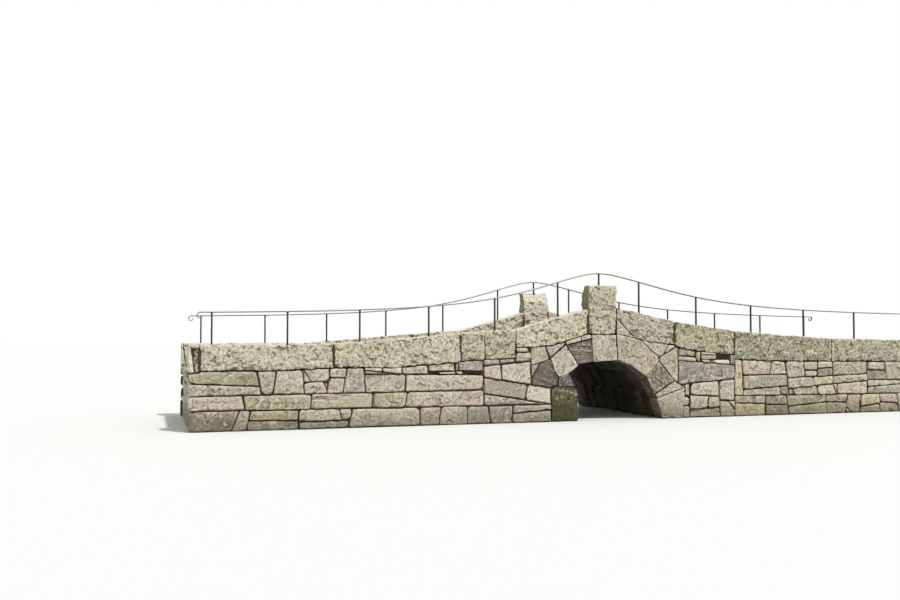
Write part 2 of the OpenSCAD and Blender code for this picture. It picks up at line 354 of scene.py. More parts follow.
def layers(spot, lean):
    """How far a layered stone stands back at a point: each layer by its own amount, with a crack under it."""
    height = (spot.z + lean * spot.x) * LAYERS_PER_M + 0.9 * noise.noise(spot * 1.8)
    level = math.floor(height)
    crack = max(0.0, 1 - (height - level) / 0.16)
    return 0.5 + 0.7 * noise.noise(Vector((level * 3.71, spot.x * 0.6, lean))) + 0.5 * crack


def facet(spot, seed):
    """How far a point on a broken stone stands out: each cell round it is a face with its own lean."""
    centre = noise.voronoi(spot)[1][0]
    lean = Vector([noise.noise(centre * seed + away) for away in APART])
    return lean.dot(spot - centre) + 0.7 * lean.x


def broken_forms(co, finish, rng):
    """For each point of a stone, how far its broken surface stands out and how much its top sags."""
    shift = Vector([rng.uniform(-40, 40) for _ in range(3)])
    lean = rng.uniform(-0.2, 0.2) + finish.get("lean", 0.0)
    moves, sags = np.empty(len(co)), np.empty(len(co))
    for i, point in enumerate(co):
        spot = Vector(point) + shift
        move = finish["wave"] * noise.fractal(spot * WAVES_PER_M, 1.0, 2.0, 3)
        move += finish["chip"] * facet(spot * CHIPS_PER_M, seed=3.7)
        move += finish["grit"] * noise.fractal(spot * GRIT_PER_M, 0.8, 2.2, 2)
        if finish["flake"]:
            move += finish["flake"] * facet(spot * FLAKES_PER_M, seed=5.3)
        if finish["ledge"]:
            move -= finish["ledge"] * layers(spot, lean)
        moves[i] = move
        sags[i] = 0.5 + noise.noise(spot * SAGS_PER_M)
    return moves, sags


def break_surface(mesh, finish, rng, across, faces, tree):
    """Breaks a stone's surface, and returns how far it stands out and where it faces a joint. faces
    names the ends of the stone, along the axis across the wall, that are outer faces."""
    co, normals = rows(mesh.vertices, "co"), rows(mesh.vertex_normals, "vector")
    low, high = co.min(0), co.max(0)

    def behind_face(co):
        """How far each point lies behind the outer face of a stone that has only one."""
        return co[:, across] - low[across] if "low" in faces else high[across] - co[:, across]

    share = (co - (low + high) / 2) / np.maximum((high - low) / 2, 1e-3)
    moves, sags = broken_forms(co, finish, rng)
    outer = np.clip(np.abs(normals[:, across]) * 2 - 1, 0, 1)
    upper = np.clip(normals[:, 2] * 2 - 1, 0, 1)
    joint = 1 - outer if tree is None else in_joints(co, normals, tree)
    joint[(np.abs(co[:, 0]) > END_X - 0.04) & (np.abs(normals[:, 0]) > 0.5)] = 0.0
    around = neighbours(mesh)
    joint = (joint + 2 * around(joint)) / 3
    joint = (joint + around(joint)) / 2
    sideways, upright = share[:, 1 - across], share[:, 2]
    depth = sum(finish[part] for part in DEPTHS)
    gap = finish["draw_back"] * np.clip(0.3 + 1.7 * sags, 0.3, 2.6)
    measured, width = measured_joints(co)
    gap += measured * (width - gap)
    # The outer face goes back with its brim, and from there its surface may stand out again
    back = finish["swell"] * np.minimum(np.maximum(abs(sideways), abs(upright)), 1) ** 4
    back -= finish["tilt"] * (rng.uniform(-1, 1) * sideways + rng.uniform(-1, 1) * upright - 1)
    back = np.maximum(back + OUTER_BACK * depth + gap, 0)
    total = moves - (1 - joint) * (OPEN_BACK * depth + upper * finish["sag"] * sags) - joint * gap
    closed = joint * measured * (width == 0)
    total *= 1 - 0.9 * closed
    # The surface never goes past the stone's true outline, and stops at it gently
    total = outer * back - SHOULDER * np.logaddexp(0, (outer * back - total) / SHOULDER)
    if len(faces) == 1:
        total *= np.clip((high[across] - low[across] - BURIED - behind_face(co)) / BURIED, 0, 1)
    inward = np.clip(1 - (co[:, across] - low[across]) / BRIM, 0, 1) * ("low" in faces)
    inward -= np.clip(1 - (high[across] - co[:, across]) / BRIM, 0, 1) * ("high" in faces)
    co += normals * total[:, None]
    co[:, across] += inward * back
    if len(faces) == 1:
        sunk = behind_face(co)
        past = outer * (sunk - DEEPEST + SHOULDER * np.logaddexp(0, (DEEPEST - sunk) / SHOULDER))
        co[:, across] -= past if "low" in faces else -past
    rim = (4 * joint * (1 - joint))[:, None]
    for _ in range(2):
        co += rim * ROUNDED * (around(co) - co)
    put_points(mesh, co)
    return np.clip(0.5 + moves / depth * 0.7, 0, 1), joint - 0.8 * closed


def ridges(mesh):
    """For each vertex, how far it stands out from those around it: above 0.5 on a ridge."""
    co = rows(mesh.vertices, "co")
    around = neighbours(mesh)
    spans = np.linalg.norm(co - around(co), axis=1)
    bend = ((co - around(co)) * rows(mesh.vertex_normals, "vector")).sum(1) / (3 * spans.mean() + 1e-6)
    return np.clip(0.5 + (0.5 * bend + 0.5 * around(bend)) * RIDGE_GAIN, 0, 1)


class Pile:
    """Stones that become one piece: their meshes, and what their material reads from them."""

    def __init__(self):
        self.meshes = []
        self.read = {"relief": [], "joint": [], "lichen": [], "tint": []}

    def stone(self, solid, finish, rng, tint, lichen=None, across=1, faces=("low", "high"), tree=None):
        """Adds a stone. faces names its outer faces by their place along the axis across the wall.
        tree holds the stones round it, and without one all its other faces are in joints."""
        mesh = mesh_of("stone", even_mesh(solid, finish["step"]))
        count = len(mesh.vertices)
        if not count:
            return
        shade = rng.uniform(0.88, 1.10)
        relief, joint = break_surface(mesh, finish, rng, across, faces, tree)
        self.meshes.append(mesh)
        self.read["relief"].append(relief)
        self.read["joint"].append(joint)
        self.read["lichen"].append(np.full(count, rng.random() if lichen is None else lichen))
        self.read["tint"].append(np.tile([channel * shade for channel in tint[:3]], (count, 1)))

    def piece(self, name, material, slot, *stands_for):
        whole = bmesh.new()
        for mesh in self.meshes:
            gather(whole, mesh)
        result = mesh_of(name, whole)
        read = {label: np.concatenate(parts) for label, parts in self.read.items()}
        for label, values in [*read.items(), ("ridge", ridges(result))]:
            kind, field = ("FLOAT_VECTOR", "vector") if label == "tint" else ("FLOAT", "value")
            layer = result.attributes.new(label, kind, "POINT")
            layer.data.foreach_set(field, values.astype(np.float32).ravel())
        result = modified(result, "DECIMATE", ratio=THINNED)
        result.name = name
        put_points(result, rows(result.vertices, "co"))
        place(name, result, material, slot, *stands_for)


def place(name, shape, material, slot, *stands_for, smooth=True):
    """A mesh or bmesh as a finished piece of the bridge, in place of the CAD nodes it stands for."""
    mesh = shape if isinstance(shape, bpy.types.Mesh) else mesh_of(name, shape)
    mesh.polygons.foreach_set("use_smooth", [smooth] * len(mesh.polygons))
    mesh.materials.append(material)
    piece = in_scene(name, mesh)
    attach(piece, "root")
    if stands_for:
        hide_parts(*stands_for)


# Materials

class Net:
    """Short ways to put nodes in a tree and join them."""

    def __init__(self, tree):
        self.tree = tree

    def node(self, kind, inputs=None, **settings):
        made = self.tree.nodes.new(kind)
        for key, value in settings.items():
            setattr(made, key, value)
        for key, value in (inputs or {}).items():
            self.feed(made.inputs[key], value)
        return made

    def feed(self, socket, value):
        if isinstance(value, bpy.types.NodeSocket):
            self.tree.links.new(value, socket)
        else:
            socket.default_value = value

    def spot(self):
        return self.node("ShaderNodeTexCoord").outputs["Object"]

    def group(self, tree, **inputs):
        return self.node("ShaderNodeGroup", inputs, node_tree=tree).outputs

    def attribute(self, name, output="Fac"):
        return self.node("ShaderNodeAttribute", attribute_name=name).outputs[output]

    def axes(self, vector):
        return self.node("ShaderNodeSeparateXYZ", {0: vector}).outputs

    def facing(self):
        return self.axes(self.node("ShaderNodeNewGeometry").outputs["Normal"])

    def noise(self, where, scale, detail=3.0, roughness=0.55, distortion=0.0):
        inputs = dict(Vector=where, Scale=scale, Detail=detail, Roughness=roughness, Distortion=distortion)
        return self.node("ShaderNodeTexNoise", inputs).outputs["Fac"]

    def cells(self, where, scale, output="Distance"):
        return self.node("ShaderNodeTexVoronoi", {"Vector": where, "Scale": scale}).outputs[output]

    def grains(self, where, scale):
        """Three values for each cell, each unlike its neighbours'."""
        return self.node("ShaderNodeSeparateColor", {0: self.cells(where, scale, "Color")}).outputs

    def maths(self, operation, first, second=0.0):
        return self.node("ShaderNodeMath", {0: first, 1: second}, operation=operation).outputs[0]

    def plus(self, first, second):
        return self.maths("ADD", first, second)

    def times(self, first, second):
        return self.maths("MULTIPLY", first, second)

    def minus(self, first, second):
        return self.maths("SUBTRACT", first, second)

    def size(self, value):
        return self.maths("ABSOLUTE", value)

    def mixed(self, *parts):
        """The sum of values, each given with its weight."""
        total = self.times(*parts[0])
        for part in parts[1:]:
            total = self.plus(total, self.times(*part))
        return total

    def swayed(self, value, ripple, weight):
        """A value moved up and down by a noise."""
        return self.plus(value, self.times(self.minus(ripple, 0.5), weight))

    def spread(self, value, low, high, new_low=0.0, new_high=1.0):
        return self.node(
            "ShaderNodeMapRange",
            {"Value": value, "From Min": low, "From Max": high, "To Min": new_low, "To Max": new_high},
        ).outputs["Result"]

    def scaled(self, vector, factors):
        return self.node("ShaderNodeVectorMath", {0: vector, 1: factors}, operation="MULTIPLY").outputs[0]

    def blend(self, share, under, over):
        mix = self.node("ShaderNodeMix", {0: share}, data_type="RGBA")
        self.feed(mix.inputs[6], under)
        self.feed(mix.inputs[7], over)
        return mix.outputs[2]

    def painted(self, base, *coats):
        """A base under coats of paint. A coat is its paint, the most that it covers, the value that it
        follows, and at what value it covers nothing and at what value the most."""
        for paint, most, value, nothing_at, most_at in coats:
            base = self.blend(self.spread(value, nothing_at, most_at, 0.0, most), base, paint)
        return base

    def coat(self, shader, base, rough, specular, relief, strength, depth):
        """Gives a shader its colour, its gloss and the bump of its fine relief."""
        self.feed(shader.inputs["Base Color"], base)
        self.feed(shader.inputs["Roughness"], rough)
        shader.inputs["Specular IOR Level"].default_value = specular
        lift = self.node("ShaderNodeBump", {"Strength": strength, "Distance": depth, "Height": relief})
        self.feed(shader.inputs["Normal"], lift.outputs["Normal"])


def group(name, inputs, outputs, build):
    """A shader node group with named sockets, filled by build(net, inputs, outputs)."""
    tree = bpy.data.node_groups.new(name, "ShaderNodeTree")
    for label, value in inputs.items():
        kind = "NodeSocketFloat" if isinstance(value, float) else "NodeSocketColor"
        tree.interface.new_socket(label, in_out="INPUT", socket_type=kind).default_value = value
    for label, kind in outputs.items():
        tree.interface.new_socket(label, in_out="OUTPUT", socket_type=kind)
    start = tree.nodes.new("NodeGroupInput")
    end = tree.nodes.new("NodeGroupOutput")
    build(Net(tree), start.outputs, end.inputs)
    return tree


def granite(net, given, put):
    """Clean granite: clouds of warmer stone, mottling, crystals, and the height of its grain."""
    spot = net.spot()
    stone, deep, bright = given["Stone"], given["Deep"], given["Bright"]
    clouds, hues = net.noise(spot, 1.7, 4.0, 0.6, 0.5), net.noise(spot, 6.0, 5.0, 0.75, 0.4)
    patches = net.noise(spot, 7.0, 5.0, 0.68, 0.8)
    flat = net.scaled(spot, (1.0, 1.0, 1.7))
    mottle = net.mixed((net.noise(flat, 19.0, 4.0, 0.75), 0.85), (net.cells(flat, 30.0), 0.15))
    crystals = net.grains(spot, 140.0)
    net.feed(put["Colour"], net.painted(
        stone,
        (given["Warm"], 0.7, clouds, 0.42, 0.68),
        (net.scaled(stone, (1.20, 1.00, 0.95)), 0.55, hues, 0.51, 0.64),
        (net.scaled(stone, (0.93, 0.97, 0.80)), 0.50, hues, 0.49, 0.36),
        (deep, 0.40, patches, 0.52, 0.72),
        (bright, 0.40, patches, 0.48, 0.30),
        (deep, given["Mottle"], mottle, 0.49, 0.35),
        (bright, given["Mottle"], mottle, 0.48, 0.58),
        (bright, 0.35, crystals[0], 0.62, 0.75),
        (colour(70, 66, 62), 0.50, crystals[1], 0.82, 0.90),
    ))
    coarse, fine = net.noise(spot, 60.0, 4.0, 0.65), net.noise(spot, 190.0, 2.0, 0.6)
    net.feed(put["Height"], net.mixed((mottle, 0.55), (coarse, 0.30), (fine, 0.15)))


def weather(net, given, put):
    """A stone's colour under lichen, dirt and painted shade in its hollows, rubbed edges with a painted
    highlight, painted shade below and painted light on top, algae, damp and painted shade on its sides, earth
    in its joints, and damp near the ground.
    """
    spot, facing = net.spot(), net.facing()
    joint, own_lichen = net.attribute("joint"), net.attribute("lichen")
    broken, fine = net.noise(spot, 12.0, 5.0, 0.72), net.noise(spot, 48.0, 3.0, 0.7)
    # Yellow-green crust in wide patches, broken into specks, and grey-white crust in small rings
    patch = net.swayed(net.noise(spot, 1.9, 3.0, 0.6, 0.5), own_lichen, 0.25)
    crust = net.swayed(net.mixed((patch, 0.62), (broken, 0.38)), fine, 0.35)
    yellow_green = net.blend(fine, colour(162, 157, 114), colour(204, 199, 160))
    rings = net.minus(net.cells(spot, 6.5), net.times(broken, 0.30))
    # Hollows and ridges, but not at the brim of a joint, where every stone has a ridge
    brim = net.times(net.times(joint, 4.0), net.minus(1.0, joint))
    ridge = net.swayed(0.5, net.attribute("ridge"), net.minus(1.0, brim))
    hollow = net.swayed(net.mixed((ridge, 0.62), (net.attribute("relief"), 0.38)), broken, 0.30)
    side = net.plus(net.size(facing[0]), net.times(broken, 0.4))
    earth = net.spread(net.noise(spot, 2.3, 3.0, 0.6), 0.38, 0.62, 0.30, 0.95)
    level = net.swayed(net.axes(spot)[2], net.noise(spot, 2.6, 4.0, 0.6), 0.55)
    moss = net.blend(net.spread(fine, 0.36, 0.64), colour(36, 38, 24), colour(92, 96, 60))
    liking = net.times(net.times(given["Moss"], own_lichen), 0.9)
    net.feed(put["Colour"], net.painted(
        given["Colour"],
        (yellow_green, given["Lichen"], crust, 0.48, 0.58),
        (colour(214, 214, 202), net.times(given["Lichen"], 0.7), rings, 0.07, 0.02),
        # Undersides get painted shade, hollows hold dirt and painted shade, and ridges are rubbed and painted
        # bright as a painted highlight
        (colour(56, 52, 42), 0.7, facing[2], -0.15, -0.6),
        (colour(78, 70, 56), given["Wash"], hollow, 0.50, 0.28),
        (colour(226, 221, 204), given["Worn"], hollow, 0.54, 0.74),
        # Painted light keeps the tops pale, and a dark green film of algae, with painted shade, covers the
        # narrow sides
        (colour(228, 223, 205), 0.6, facing[2], 0.35, 0.85),
        (colour(126, 121, 82), given["Film"], side, 0.90, 1.10),
        # Under the arch the stones' sides are damp and get painted shade
        (colour(58, 52, 43), given["Soot"], net.size(facing[1]), 0.50, 0.15),
        # Earth in the joints, damp near the ground, and moss that creeps up on the stones it likes
        (colour(52, 45, 35), earth, net.swayed(joint, broken, 0.5), 0.62, 0.95),
        (colour(92, 88, 66), 0.55, level, 0.42, 0.05),
        (moss, liking, net.swayed(level, broken, 1.6), 0.72, 0.42),
    ))
    net.feed(put["Rough"], net.spread(hollow, 0.3, 0.7, 0.98, 0.84))


GRANITE = group(
    "granite", dict(Stone=PALE, Warm=BEIGE, Deep=BROWN, Bright=WHITE, Mottle=0.5),
    dict(Colour="NodeSocketColor", Height="NodeSocketFloat"), granite,
)
WEATHER = group(
    "stone_weather", dict(Colour=PALE, Lichen=0.5, Wash=0.5, Worn=0.5, Film=0.0, Moss=0.0, Soot=0.0),
    dict(Colour="NodeSocketColor", Rough="NodeSocketFloat"), weather,
)


def new_material(name):
    material = bpy.data.materials.new(name)
    material.use_nodes = True
    return material, Net(material.node_tree), material.node_tree.nodes["Principled BSDF"]


def stone_material(name, mottle, lichen, wash, worn, bump=0.8, warm=PINK, **weathering):
    """Granite in the tint that each stone carries, with dirt and painted shade in its hollows and wear and a
    painted highlight on its ridges. weathering holds more of WEATHER's inputs.
    """
    material, net, shader = new_material(name)
    tint = net.attribute("tint", "Color")
    rock = net.group(
        GRANITE, Stone=tint, Warm=net.blend(0.40, tint, warm), Deep=net.scaled(tint, (0.50, 0.45, 0.36)),
        Bright=net.scaled(tint, (1.38, 1.39, 1.42)), Mottle=mottle,
    )
    weathering.update(Lichen=lichen, Wash=wash, Worn=worn)
    weathered = net.group(WEATHER, Colour=rock["Colour"], **weathering)
    net.coat(shader, weathered["Colour"], weathered["Rough"], 0.25, rock["Height"], bump, 0.02)
    return material


PARAPET = dict(mottle=0.80, lichen=0.40, wash=0.50, worn=0.60, bump=1.0)
# Cleaner stone for the back side, which is also painted paler as painted light
BLEACHED_PARAPET = dict(mottle=0.55, lichen=0.30, wash=0.38, worn=0.65, bump=1.0)
granite_block = stone_material("granite_block", **PARAPET)
# Pillars get a green film of algae with painted shade on their narrow sides
granite_pillar = stone_material("granite_pillar", **PARAPET, Film=0.8)
bleached_block = stone_material("bleached_block", **BLEACHED_PARAPET)
bleached_pillar = stone_material("bleached_pillar", **BLEACHED_PARAPET, Film=0.8)
# These two get painted shade, with damp, on their sides under the arch
granite_arch = stone_material("granite_arch", mottle=0.75, lichen=0.12, wash=0.55, worn=0.45, Soot=0.6)
granite_dark = stone_material(
    "granite_dark", mottle=0.65, lichen=0.0, wash=0.60, worn=0.30, Moss=1.0, Soot=0.6,
)
granite_vault = stone_material("granite_vault", mottle=0.40, lichen=0.0, wash=0.90, worn=0.0, warm=BROWN)
rubble_stone = stone_material("rubble_stone", mottle=0.72, lichen=0.20, wash=0.50, worn=0.50)


def packed_earth(name, light, dark, scale, depth):
    """Earth or lime packed with small stones."""
    material, net, shader = new_material(name)
    spot = net.spot()
    gaps = net.cells(spot, scale)
    base = net.painted(
        net.blend(net.grains(spot, scale)[0], dark, light),
        (dark, 0.8, gaps, 0.35, 0.75),
        (dark, 0.55, net.noise(spot, 1.3, 5.0, 0.65), 0.40, 0.70),
        (light, 0.5, net.noise(spot, scale * 3, 2.0), 0.35, 0.65),
    )
    rise = net.minus(net.times(net.noise(spot, scale * 2.0, 3.0), 0.5), gaps)
    net.coat(shader, base, 0.95, 0.2, rise, 0.7, depth)
    return material


hearting = packed_earth("hearting", colour(98, 86, 67), colour(40, 34, 26), 16.0, 0.02)
packing = packed_earth("packing", colour(92, 84, 62), colour(52, 46, 34), 60.0, 0.004)


def rolled_gravel():
    """Fine gravel, trodden pale along the middle, with damp earth and moss along the parapets."""
    material, net, shader = new_material("gravel")
    spot = net.spot()
    grains, gaps = net.grains(spot, 70.0), net.cells(spot, 70.0)
    cloud = net.noise(spot, 0.9, 6.0, 0.68, 0.6)
    edge = net.swayed(net.size(net.axes(spot)[1]), net.noise(spot, 2.4, 6.0, 0.7), 0.9)
    moss = net.swayed(edge, net.noise(spot, 22.0, 4.0, 0.7), 0.8)
    base = net.painted(
        net.blend(grains[0], colour(172, 156, 136), colour(214, 201, 182)),
        (colour(116, 104, 92), 0.7, grains[1], 0.86, 0.92),
        (colour(232, 226, 212), 0.7, grains[2], 0.88, 0.93),
        (colour(128, 112, 92), 0.6, gaps, 0.30, 0.75),
        (colour(150, 132, 108), 0.45, cloud, 0.50, 0.68),
        (colour(222, 212, 196), 0.40, cloud, 0.48, 0.34),
        (colour(118, 104, 78), 0.75, edge, 0.95, 1.45),
        (colour(88, 94, 52), 0.7, moss, 1.34, 1.54),
    )
    rise = net.minus(net.times(net.noise(spot, 120.0, 3.0), 0.5), gaps)
    net.coat(shader, base, net.spread(edge, 0.6, 1.4, 0.93, 0.86), 0.2, rise, 0.8, 0.004)
    return material


gravel = rolled_gravel()


def worn_iron(name, sound, rubbed_off, bare):
    """Old dark paint on iron, pale grey on the faces that look up: bare metal where hands and rain rub it,
    and a painted sheen where the grey reaches down the sides. A face that looks up by less than sound keeps
    its paint, and one that looks up by more than the upper threshold is all grey."""
    material, net, shader = new_material(name)
    spot = net.spot()
    base = net.painted(
        net.blend(net.noise(spot, 8.0, 3.0), colour(24, 34, 29), colour(42, 52, 45)),
        (colour(84, 54, 38), 0.8, net.noise(spot, 22.0, 5.0, 0.75), 0.62, 0.72),
        (bare, 1.0, net.swayed(net.facing()[2], net.noise(spot, 30.0, 4.0, 0.7), 0.7), sound, rubbed_off),
    )
    rough = net.spread(net.noise(spot, 40.0), 0.3, 0.7, 0.42, 0.7)
    net.coat(shader, base, rough, 0.5, net.noise(spot, 90.0, 3.0), 0.35, 0.002)
    shader.inputs["Metallic"].default_value = 0.2
    return material


post_iron = worn_iron("post_iron", 0.55, 0.95, colour(170, 172, 162))
# The rail's grey reaches far down its sides: partly wear, partly a painted sheen
rail_iron = worn_iron("rail_iron", -0.55, 0.35, colour(190, 194, 182))


# Parapets, pillars and arch

END_SLAB = 0.10  # width of the light slab at a parapet's very end
END_SLANT = 0.065  # how far its joint leans over its height
END_CAP = 0.07  # height of the cap behind it
UNDER_CAP = 0.03  # how far the slab under that cap stands back


def dress(node, finishes, material, slot, tints, lichens=(None,)):
    """A CAD node's stones, from left to right, each broken to its finish."""
    pile = Pile()
    rng = random.Random(node)
    solids = loose_parts(nodes[node].data)
    for index, solid in enumerate(solids):
        tree = next_stones(node, [other for other in solids if other is not solid])
        stone = solid.copy()
        if node in ("back_arch_stones", "back_pinning_stones", "back_springers"):
            stand_proud(stone)
        finish, tint, lichen = (choice[index % len(choice)] for choice in (finishes, tints, lichens))
        pile.stone(stone, finish, rng, tint, lichen, tree=tree)
    for solid in solids:
        solid.free()
    pile.piece(f"{node}_stone", material, slot, node)


def stand_proud(solid):
    """Leans a stone of the ring's right side, below the crown, into the passage."""
    middle = middle_of(solid)
    if middle.x < 1.0:
        return
    left = reach_of(solid, 0)[0]
    for vert in solid.verts:
        vert.co.x -= PROUD * max(0.0, (middle.x - vert.co.x) / (middle.x - left))


def end_stone(side, end, outward):
    """A parapet's end stone: a light slab and, behind a slanting joint, a capped one, dark in front."""
    node = f"{side}_{end}_end_stone"
    sign = -1 if end == "left" else 1
    (solid,) = loose_parts(nodes[node].data)
    low, high = reach_of(solid, 2)
    slant = Vector((sign * END_SLANT, 0, high - low))
    parts = halves(solid, Vector((sign * (END_X - END_SLAB), 0, low)), slant.cross(Vector((0, 1, 0))))
    inner, outer = sorted(parts, key=lambda part: abs(middle_of(part).x))
    slab, cap = halves(inner.copy(), Vector((0, 0, high - END_CAP)), Vector((0, 0, 1)))
    for vert in slab.verts:
        if vert.co.y * outward > FACE_Y - 0.01:
            vert.co.y -= outward * UNDER_CAP
    pile = Pile()
    rng = random.Random(node)
    beside_outer, beside_inner = next_stones(node, [inner]), next_stones(node, [outer])
    inner.free()
    pile.stone(outer, DRESSED, rng, WHITE, 0.2, tree=beside_outer)
    pile.stone(cap, DRESSED, rng, PALE, 0.2, tree=beside_inner)
    pile.stone(slab, DRESSED, rng, colour(104, 92, 74) if side == "front" else PALE, 0.0, tree=beside_inner)
    pile.piece(f"{node}_stone", granite_block, "granite_block", node)


def paler(tints, share):
    """Tints brought nearer to paler, cleaner stone, which holds painted light."""
    return [tuple(a + (b - a) * share for a, b in zip(tint, BLEACHED)) for tint in tints]


LEFT_BLOCK_TINTS = [
    colour(198, 193, 170), colour(206, 201, 176), colour(184, 178, 152), colour(190, 183, 158),
]
# The first right block's darker tint is partly its own stone and partly painted shade
RIGHT_BLOCK_TINTS = [colour(156, 149, 127), colour(180, 174, 152)]
RING_FINISHES = [DRESSED, LAYERED, DRESSED, DRESSED]
RING_TINTS = [PALE, colour(134, 126, 114), BEIGE, colour(124, 113, 96)]
PINNING_FINISHES = [PINNING, PINNING, PINNING, dict(PINNING, ledge=0.012)]

# The back side's stones are cleaner, and painted paler as painted light
for side, outward, bleached, block, pillar in (
    ("front", -1, 0.0, granite_block, granite_pillar), ("back", 1, 0.8, bleached_block, bleached_pillar),
):
    end_stone(side, "left", outward)
    end_stone(side, "right", outward)
    for part, material, tints, lichens in (
        ("left_parapet", block, LEFT_BLOCK_TINTS, [0.1, 0.5, 0.7, 0.7]),
        ("left_sloping_block", block, [colour(204, 197, 176)], [0.6]),
        ("right_sloping_blocks", block, [colour(176, 170, 149), GREEN], [0.2, 0.9]),
        ("right_parapet", block, RIGHT_BLOCK_TINTS, [0.7, 0.5]),
        ("pillar", pillar, [colour(182, 176, 154)], [0.4]),
    ):
        dress(f"{side}_{part}", [ROCK_FACED], material, "granite_block", paler(tints, bleached), lichens)
    for part, finishes, material, slot, tints, lichens in (
        ("pillar_wedge", [DRESSED], granite_arch, "granite_arch", [PINK], [None]),
        ("arch_stones", RING_FINISHES, granite_arch, "granite_arch", RING_TINTS, [None]),
        ("keystone", [DRESSED], granite_arch, "granite_arch", [colour(186, 180, 164)], [None]),
        ("pinning_stones", PINNING_FINISHES, granite_arch, "granite_dark", [DARK, PINK, BEIGE, PALE], [None]),
        ("springers", [WATERWORN, DRESSED], granite_dark, "granite_dark", [OLIVE, PALE], [1.0, 0.25]),
    ):
        dress(f"{side}_{part}", finishes, material, slot, tints, lichens)


VAULT_STONE = (0.4, 0.8)  # from the least length of its stones to the largest
FIRST_VAULT_STONE = (0.3, 0.6)  # the same for the first stone of each course


def vault():
    """The barrel behind the rings: each course in rough stones of uneven length, damp and painted near-black
    as shade.
    """
    pile = Pile()
    rng = random.Random("vault")
    for rest in loose_parts(nodes["vault_courses"].data):
        y = -INNER_Y + rng.uniform(*FIRST_VAULT_STONE)
        while y < INNER_Y - FIRST_VAULT_STONE[0]:
            stone, rest = halves(rest, Vector((0, y, 0)), Vector((0, 1, 0)))
            pile.stone(stone, VAULT, rng, rng.choice([SOOTY, SOOTY, DARK]))
            y += rng.uniform(*VAULT_STONE)
        pile.stone(rest, VAULT, rng, SOOTY)
    pile.piece("vault_stones", granite_vault, "granite_dark", "vault_courses")


vault()


# Rubble walls

# Joint lines of the rubble, each from X, Z to X, Z, in the order they are laid out.
# A line cuts the stone that its middle lies on. Elsewhere the rubble lays itself out.
LEFT_JOINTS = [
    (-7.95, 0.36, -1.11, 0.34), (-2.52, 1.30, -2.50, 0.35), (-2.50, 0.88, -1.11, 0.66),
    (-2.50, 0.57, -1.20, 0.36), (-1.60, 0.80, -1.66, 0.38), (-1.535, 1.46, -1.53, 0.74),
    (-2.52, 1.10, -1.53, 1.19), (-2.16, 1.14, -2.14, 0.84), (-2.19, 1.24, -2.18, 1.14),
    (-1.86, 1.27, -1.86, 1.17), (-1.84, 1.36, -1.53, 1.36), (-1.595, 1.46, -1.59, 1.37),
    (-1.535, 1.10, -1.12, 1.22), (-1.21, 1.42, -1.13, 1.20), (-1.37, 1.12, -1.545, 0.78),
    (-7.95, 0.62, -2.51, 0.64), (-4.83, 1.05, -4.80, 0.63), (-4.82, 0.975, -2.52, 0.935),
    (-4.04, 0.97, -4.06, 0.63), (-4.83, 1.045, -4.04, 0.955), (-4.50, 1.10, -4.50, 1.02),
    (-4.13, 1.10, -4.12, 0.97), (-3.61, 1.20, -3.61, 0.96), (-3.085, 1.20, -3.08, 0.95),
    (-3.61, 1.005, -3.09, 1.005), (-3.41, 1.00, -3.41, 0.96), (-3.08, 1.01, -2.52, 1.005),
    (-2.94, 1.00, -2.94, 0.95), (-3.02, 1.18, -3.02, 1.01),
]
RIGHT_JOINTS = [
    (1.80, 0.43, 7.95, 0.40), (3.24, 1.25, 3.26, 0.43), (1.72, 1.46, 1.71, 0.44),
    (1.29, 1.245, 1.60, 1.42), (1.385, 1.31, 1.47, 1.48), (1.71, 1.175, 3.24, 1.045),
    (1.71, 0.685, 3.24, 0.80), (2.00, 0.72, 1.99, 0.43), (2.66, 0.76, 2.68, 0.42),
    (2.12, 1.37, 2.13, 1.14), (2.245, 1.36, 2.245, 1.13), (2.95, 1.30, 2.95, 1.07),
    (3.005, 1.30, 3.005, 1.07), (1.72, 1.265, 2.12, 1.225), (2.25, 1.19, 2.95, 1.185),
    (2.60, 1.32, 2.60, 1.19), (2.25, 1.285, 2.60, 1.28), (2.455, 1.19, 2.455, 1.09),
]
# Places where a small stone has fallen out and the dark hearting shows
LEFT_GAPS = [(-1.56, 1.41), (-2.72, 0.97), (-3.51, 0.98)]
RIGHT_GAPS = [(2.77, 1.25)]
# Places, in X and Z, of the stones that stand out by their colour or their layers
LEFT_STONES = [
    (-3.35, 1.08, YELLOW, RUBBLE), (-2.32, 1.00, PINK, RUBBLE),
    (-1.85, 1.00, colour(206, 196, 178), RUBBLE), (-1.20, 0.90, DARK, CALM_STRATIFIED),
    (-1.69, 1.27, GREEN, RUBBLE), (-1.70, 1.41, YELLOW, RUBBLE),
    (-1.33, 1.26, PINK, RUBBLE), (-1.40, 0.55, WHITE, STRATIFIED),
    (-2.00, 0.65, GREY, STRATIFIED), (-3.40, 0.80, PALE, RUBBLE),
    (-1.00, 1.42, GREY, RUBBLE), (-2.78, 1.08, GREY, RUBBLE),
    (-1.47, 1.00, GREY, RUBBLE),
]
RIGHT_STONES = [
    (1.15, 1.46, PALE, RUBBLE), (1.55, 1.10, colour(174, 166, 147), CALM_RUBBLE),
    (2.40, 0.95, colour(150, 145, 135), RUBBLE), (2.69, 1.12, WHITE, RUBBLE),
    (2.20, 0.60, PALE, RUBBLE), (1.80, 0.55, GREEN, RUBBLE),
    (1.92, 1.32, GREY, RUBBLE), (2.98, 1.20, WHITE, RUBBLE),
]
